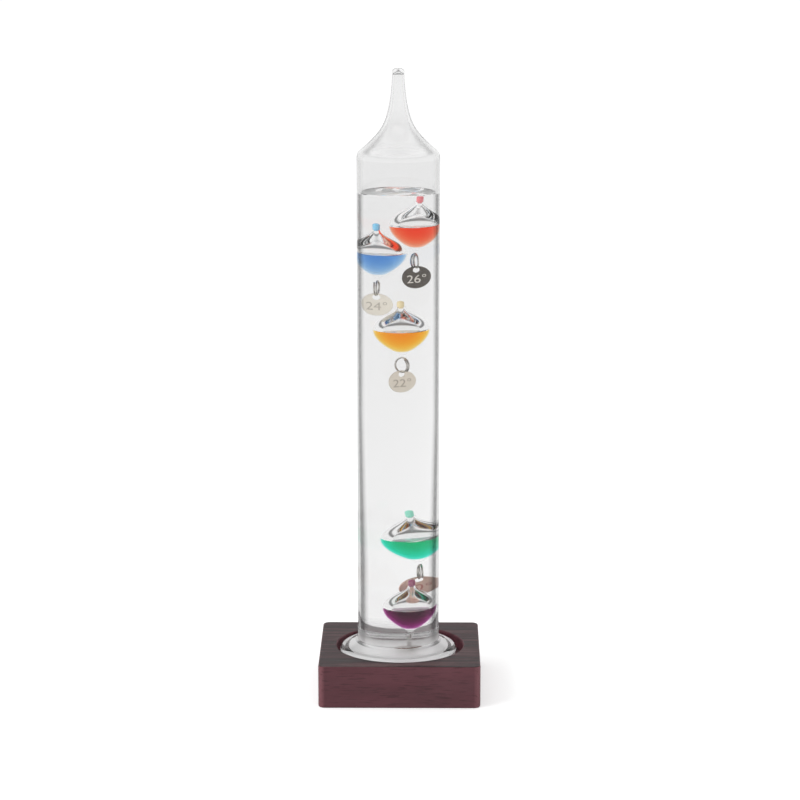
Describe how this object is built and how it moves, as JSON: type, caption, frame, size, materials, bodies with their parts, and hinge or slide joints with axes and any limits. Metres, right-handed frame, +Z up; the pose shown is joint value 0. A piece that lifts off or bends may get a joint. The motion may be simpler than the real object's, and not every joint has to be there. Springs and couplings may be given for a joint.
{
  "type": "galileo thermometer",
  "caption": "Free-standing glass thermometer: a liquid-filled tube on a square wooden base, holding coloured glass floats with hanging number tags.",
  "frame": {"origin": "centre of the wooden base's underside", "axes": "+Z up along the glass tube, -Y the front that the picture looks at, +X to its right"},
  "size_m": [0.077, 0.077, 0.2994],
  "materials": {
    "dark_wood": "satin, stained dark brown",
    "vessel_glass": "clear, polished",
    "float_glass": "clear, polished",
    "clear_liquid": "clear liquid",
    "ring_wire": "nickel-plated wire",
    "tag_metal": "stamped, nickel-plated",
    "red_dye": "clear coloured liquid",
    "red_seal": "coloured glass bead",
    "blue_dye": "clear coloured liquid",
    "blue_seal": "coloured glass bead",
    "orange_dye": "clear coloured liquid",
    "orange_seal": "coloured glass bead",
    "green_dye": "clear coloured liquid",
    "green_seal": "coloured glass bead",
    "purple_dye": "clear coloured liquid",
    "purple_seal": "coloured glass bead"
  },
  "bodies": {
    "base": {"wooden_base": "dark_wood"},
    "vessel": {"glass_vessel": "vessel_glass", "clear_liquid": "clear_liquid"},
    "red_float": {"red_bulb": "float_glass", "red_dye": "red_dye", "red_seal": "red_seal"},
    "red_ring": {"red_ring": "ring_wire"},
    "red_tag": {"red_tag": "tag_metal"},
    "blue_float": {"blue_bulb": "float_glass", "blue_dye": "blue_dye", "blue_seal": "blue_seal"},
    "blue_ring": {"blue_ring": "ring_wire"},
    "blue_tag": {"blue_tag": "tag_metal"},
    "orange_float": {"orange_bulb": "float_glass", "orange_dye": "orange_dye", "orange_seal": "orange_seal"},
    "orange_ring": {"orange_ring": "ring_wire"},
    "orange_tag": {"orange_tag": "tag_metal"},
    "green_float": {"green_bulb": "float_glass", "green_dye": "green_dye", "green_seal": "green_seal"},
    "green_ring": {"green_ring": "ring_wire"},
    "green_tag": {"green_tag": "tag_metal"},
    "purple_float": {"purple_bulb": "float_glass", "purple_dye": "purple_dye", "purple_seal": "purple_seal"},
    "purple_ring": {"purple_ring": "ring_wire"},
    "purple_tag": {"purple_tag": "tag_metal"}
  },
  "joints": [
    {"name": "vessel_lift", "type": "slide", "parent": "base", "child": "vessel", "axis": [0, 0, 1], "range_m": [0, 0.03]},
    {"name": "red_float_slide", "type": "slide", "parent": "vessel", "child": "red_float", "axis": [0, 0, 1], "range_m": [-0.002, 0], "stiffness_N_per_m": 1.6, "springref_m": 0.1, "deforming": ["clear_liquid"]},
    {"name": "red_ring_swing", "type": "hinge", "parent": "red_float", "child": "red_ring", "pos_m": [0.00474, -0.00102, 0.21308], "axis": [-0.4067, 0.9135, 0], "range_deg": [-15, 15], "deforming": ["clear_liquid"]},
    {"name": "red_tag_swing", "type": "hinge", "parent": "red_ring", "child": "red_tag", "pos_m": [0.00474, -0.00102, 0.2096], "axis": [0.9135, 0.4067, 0], "range_deg": [-20, 20], "deforming": ["clear_liquid"]},
    {"name": "blue_float_slide", "type": "slide", "parent": "red_float", "child": "blue_float", "axis": [0, 0, 1], "range_m": [-0.004, 0], "stiffness_N_per_m": 1.1, "springref_m": 0.1, "deforming": ["clear_liquid"]},
    {"name": "blue_ring_swing", "type": "hinge", "parent": "blue_float", "child": "blue_ring", "pos_m": [-0.00741, 0.00096, 0.19975], "axis": [-0.342, -0.9397, 0], "range_deg": [-15, 3], "deforming": ["clear_liquid"]},
    {"name": "blue_tag_swing", "type": "hinge", "parent": "blue_ring", "child": "blue_tag", "pos_m": [-0.00741, 0.00096, 0.19627], "axis": [-0.9397, 0.342, 0], "range_deg": [-20, 20], "deforming": ["clear_liquid"]},
    {"name": "orange_float_slide", "type": "slide", "parent": "blue_float", "child": "orange_float", "axis": [0, 0, 1], "range_m": [-0.04, 0], "stiffness_N_per_m": 0.55, "springref_m": 0.1, "deforming": ["clear_liquid"]},
    {"name": "orange_ring_swing", "type": "hinge", "parent": "orange_float", "child": "orange_ring", "pos_m": [0.0006, -0.00119, 0.16325], "axis": [0.6293, -0.7771, 0], "range_deg": [-15, 15], "deforming": ["clear_liquid"]},
    {"name": "orange_tag_swing", "type": "hinge", "parent": "orange_ring", "child": "orange_tag", "pos_m": [0.0006, -0.00119, 0.15977], "axis": [-0.7771, -0.6293, 0], "range_deg": [-20, 20], "deforming": ["clear_liquid"]},
    {"name": "purple_float_slide", "type": "slide", "parent": "vessel", "child": "purple_float", "axis": [0, 0, 1], "range_m": [0, 0.004], "deforming": ["clear_liquid"]},
    {"name": "purple_ring_swing", "type": "hinge", "parent": "purple_float", "child": "purple_ring", "pos_m": [0.00325, -0.00106, 0.02725], "axis": [0.0349, -0.9994, 0], "range_deg": [-4, 4], "deforming": ["clear_liquid"]},
    {"name": "purple_tag_swing", "type": "hinge", "parent": "purple_ring", "child": "purple_tag", "pos_m": [0.00325, -0.00106, 0.02377], "axis": [-0.9994, -0.0349, 0], "range_deg": [0, 15], "deforming": ["clear_liquid"]},
    {"name": "green_float_slide", "type": "slide", "parent": "purple_float", "child": "green_float", "axis": [0, 0, 1], "range_m": [0, 0.005], "deforming": ["clear_liquid"]},
    {"name": "green_ring_swing", "type": "hinge", "parent": "green_float", "child": "green_ring", "pos_m": [0.00526, 0.00623, 0.06054], "axis": [0.309, -0.9511, 0], "range_deg": [-15, 15], "deforming": ["clear_liquid"]},
    {"name": "green_tag_swing", "type": "hinge", "parent": "green_ring", "child": "green_tag", "pos_m": [0.00526, 0.00623, 0.05706], "axis": [-0.9511, -0.309, 0], "range_deg": [-20, 4], "deforming": ["clear_liquid"]}
  ]
}
